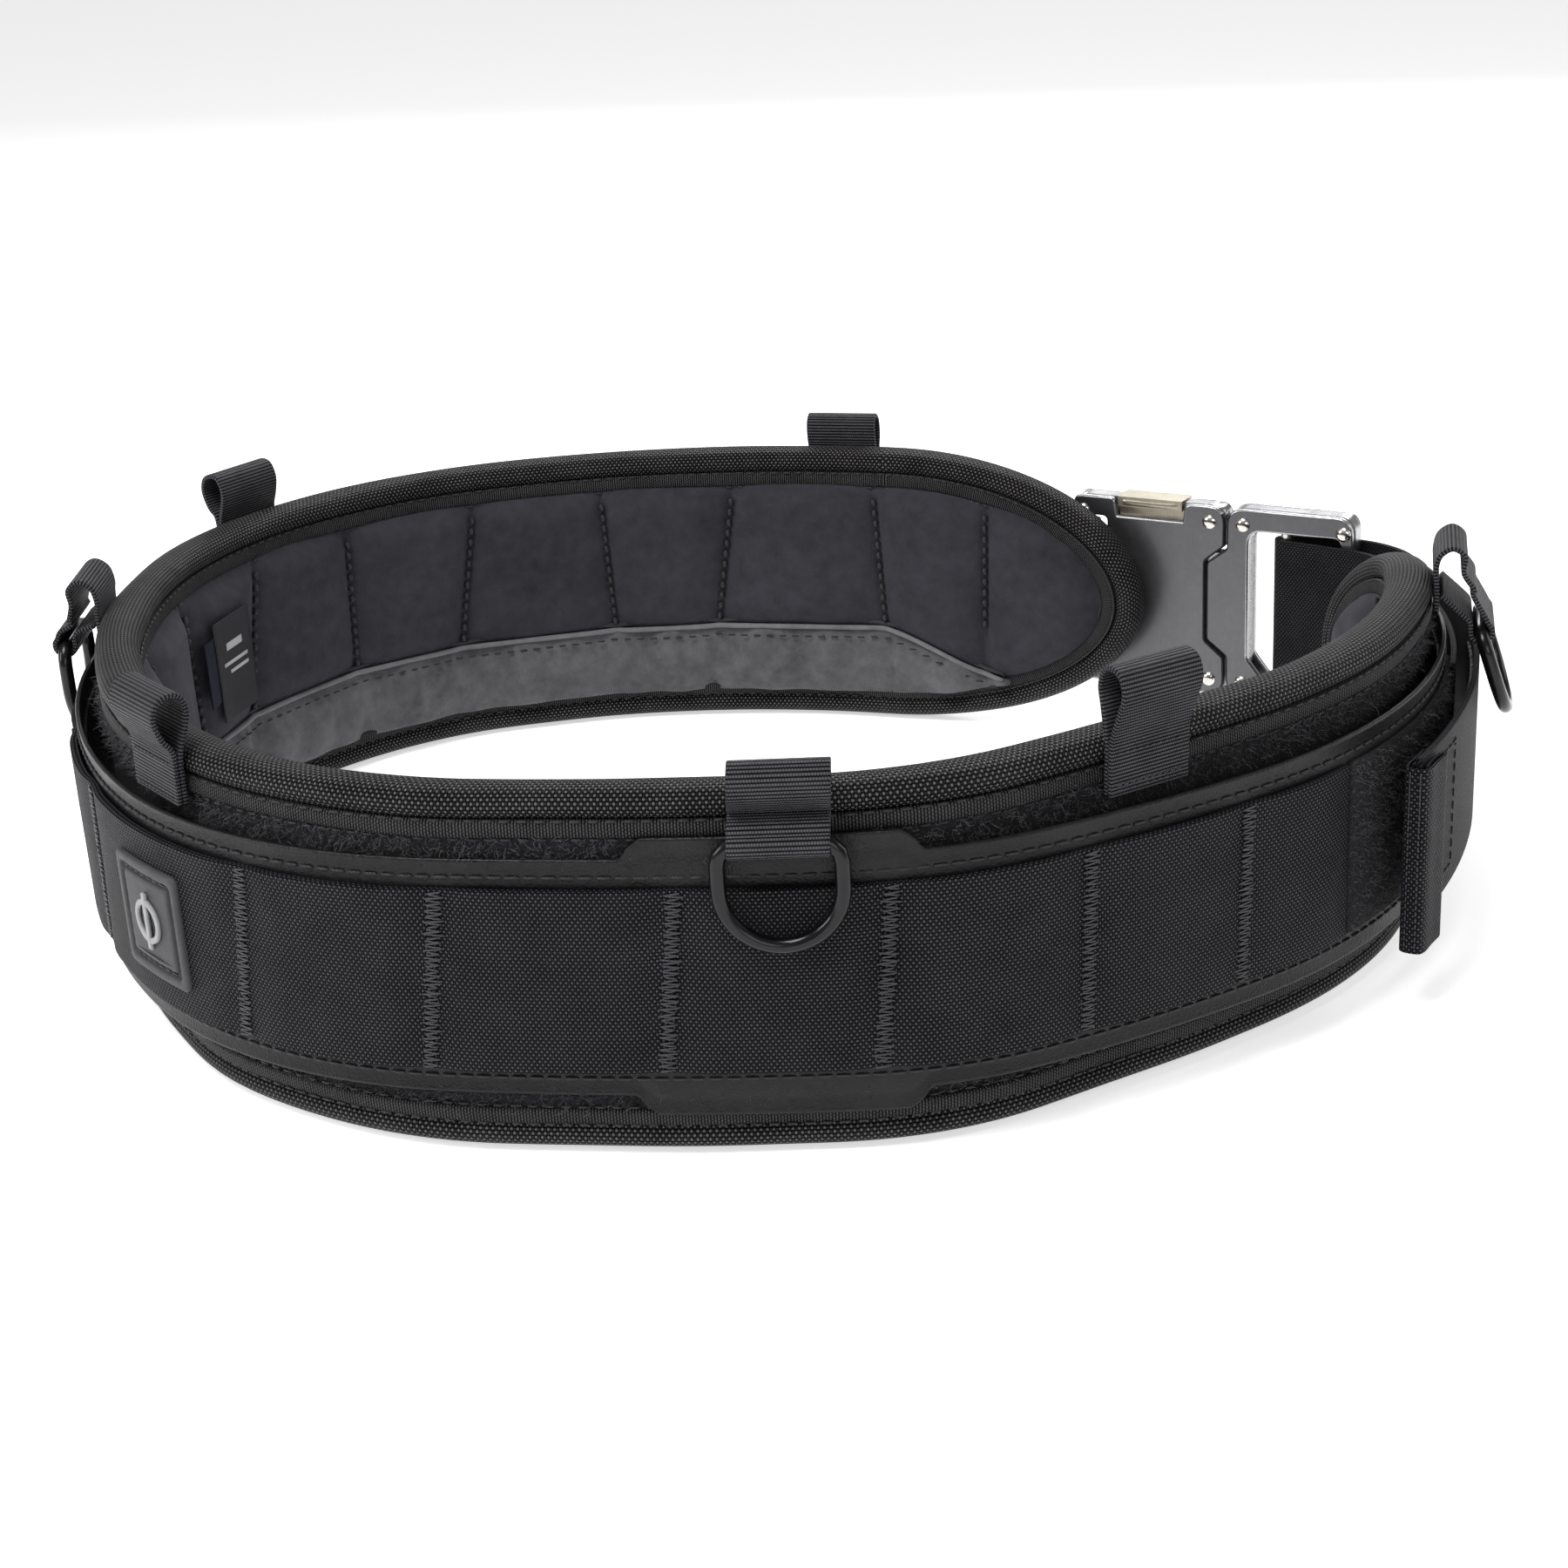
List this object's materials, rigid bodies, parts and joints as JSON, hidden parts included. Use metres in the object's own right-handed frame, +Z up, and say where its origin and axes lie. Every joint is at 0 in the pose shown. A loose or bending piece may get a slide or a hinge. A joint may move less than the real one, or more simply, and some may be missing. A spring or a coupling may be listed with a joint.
{
  "type": "tool belt",
  "caption": "Padded work belt with webbing, tall tool loops, D-rings, a two-latch metal plate buckle and a folded-back waist strap, closed and standing on edge.",
  "frame": {"origin": "centre of the whole belt's plan outline, at the lower edge it stands on", "axes": "+Z up along the belt's height, +X the widest way across the loop, -Y towards the tab side"},
  "size_m": [0.4402, 0.3628, 0.119],
  "materials": {
    "loop_webbing": "ribbed woven webbing",
    "ring_steel": "dark nickel wire",
    "rivet_steel": "polished dome",
    "spring_steel": "drawn wire",
    "latch_metal": "worn pale brass",
    "strap_webbing": "ribbed woven webbing",
    "pin_steel": "turned",
    "buckle_metal": "dark semi-gloss coat, bright bevels",
    "foam": "closed-cell foam, hidden",
    "lining_fabric": "smooth knit lining",
    "cushion_fabric": "soft grey knit",
    "pile_fabric": "brushed loop pile",
    "binding_fabric": "coarse basket weave",
    "laminate": "grained, slight sheen",
    "belt_webbing": "fine plain weave",
    "hook_tape": "moulded hooks",
    "badge_rubber": "moulded",
    "emblem_rubber": "moulded, pale",
    "label_cloth": "satin woven, blank"
  },
  "bodies": {
    "belt": {"badge_emblem": "emblem_rubber", "belt_hook_backing": "hook_tape", "belt_laminate": "laminate", "belt_pile_patch": "pile_fabric", "belt_webbing": "belt_webbing", "buckle_anchor_loop": "strap_webbing", "buckle_female_guides": "buckle_metal", "buckle_female_inner_plate": "buckle_metal", "buckle_female_outer_plate": "buckle_metal", "buckle_female_rivets": "rivet_steel", "buckle_female_spacer": "buckle_metal", "buckle_male_fork": "buckle_metal", "buckle_male_inner_plate": "buckle_metal", "buckle_male_outer_plate": "buckle_metal", "buckle_male_rivets": "rivet_steel", "buckle_webbing_pin": "pin_steel", "d_ring_loop_front": "loop_webbing", "d_ring_loop_left": "loop_webbing", "d_ring_loop_rear": "loop_webbing", "d_ring_loop_right": "loop_webbing", "latch_spring_bottom": "spring_steel", "latch_spring_top": "spring_steel", "lower_inner_cushion": "cushion_fabric", "pad_edge_binding": "binding_fabric", "pad_foam_core": "foam", "pad_lining": "lining_fabric", "pad_pile_panel": "pile_fabric", "rubber_badge": "badge_rubber", "size_label": "label_cloth", "strap_end_tab": "strap_webbing", "strap_hook_patch": "hook_tape", "tool_loop_front_right": "loop_webbing", "tool_loop_rear_left": "loop_webbing", "tool_loop_side": "loop_webbing", "waist_strap": "strap_webbing", "woven_label": "label_cloth"},
    "ring_rear": {"d_ring_rear": "ring_steel"},
    "ring_left": {"d_ring_left": "ring_steel"},
    "ring_front": {"d_ring_front": "ring_steel"},
    "ring_right": {"d_ring_right": "ring_steel"},
    "latch_top": {"buckle_latch_top": "latch_metal"},
    "latch_bottom": {"buckle_latch_bottom": "latch_metal"},
    "adjuster": {"buckle_adjuster_bar": "pin_steel"}
  },
  "joints": [
    {"name": "d_ring_rear_swing", "type": "hinge", "parent": "belt", "child": "ring_rear", "pos_m": [0.03202, 0.17283, 0.0886], "axis": [0.9617, -0.2743, 0], "range_deg": [0, 150]},
    {"name": "d_ring_left_swing", "type": "hinge", "parent": "belt", "child": "ring_left", "pos_m": [-0.21616, 0.02347, 0.0886], "axis": [-0.0125, 0.9999, 0], "range_deg": [0, 150]},
    {"name": "d_ring_front_swing", "type": "hinge", "parent": "belt", "child": "ring_front", "pos_m": [-0.00056, -0.17672, 0.0886], "axis": [-0.9984, 0.0559, 0], "range_deg": [0, 150]},
    {"name": "d_ring_right_swing", "type": "hinge", "parent": "belt", "child": "ring_right", "pos_m": [0.20869, -0.02664, 0.084], "axis": [-0.2367, -0.9716, 0], "range_deg": [0, 130]},
    {"name": "latch_top_press", "type": "slide", "parent": "belt", "child": "latch_top", "axis": [0, 0, -1], "range_m": [0, 0.003], "stiffness_N_per_m": 600, "springref_m": -0.004, "deforming": ["latch_spring_top"]},
    {"name": "latch_bottom_press", "type": "slide", "parent": "belt", "child": "latch_bottom", "axis": [0, 0, 1], "range_m": [0, 0.003], "stiffness_N_per_m": 600, "springref_m": -0.004, "deforming": ["latch_spring_bottom"]},
    {"name": "adjuster_bar_slide", "type": "slide", "parent": "belt", "child": "adjuster", "axis": [0.8572, -0.515, 0], "range_m": [0, 0.003]}
  ]
}
